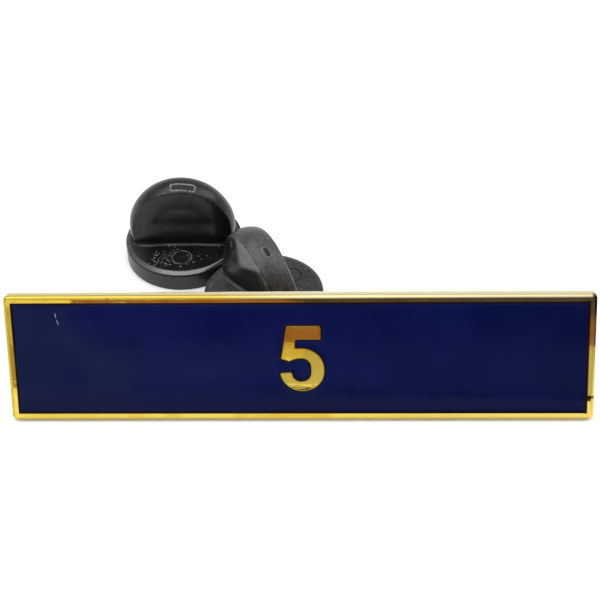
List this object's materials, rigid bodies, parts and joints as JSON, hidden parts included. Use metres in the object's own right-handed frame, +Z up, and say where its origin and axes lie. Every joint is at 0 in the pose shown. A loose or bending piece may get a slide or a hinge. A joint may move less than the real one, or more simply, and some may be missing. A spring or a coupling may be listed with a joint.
{
  "type": "ribbon bar pin",
  "caption": "Enamelled bar pin with a raised gilt border and numeral, posts on its back, and loose rubber clutches standing behind it.",
  "frame": {"origin": "under the middle of the bounding box of the whole group, on the surface that it stands on", "axes": "+X along the bar to the right as its numeral is read, -Y the side that its face looks to, +Z up"},
  "size_m": [0.057, 0.0322, 0.0129],
  "materials": {
    "gilt": "polished gilt",
    "enamel": "glossy enamel, polished level with the border",
    "rubber": "satin moulded rubber"
  },
  "bodies": {
    "root": {"bar": "gilt", "enamel": "enamel", "left_clutch": "rubber", "right_clutch": "rubber"}
  },
  "joints": []
}
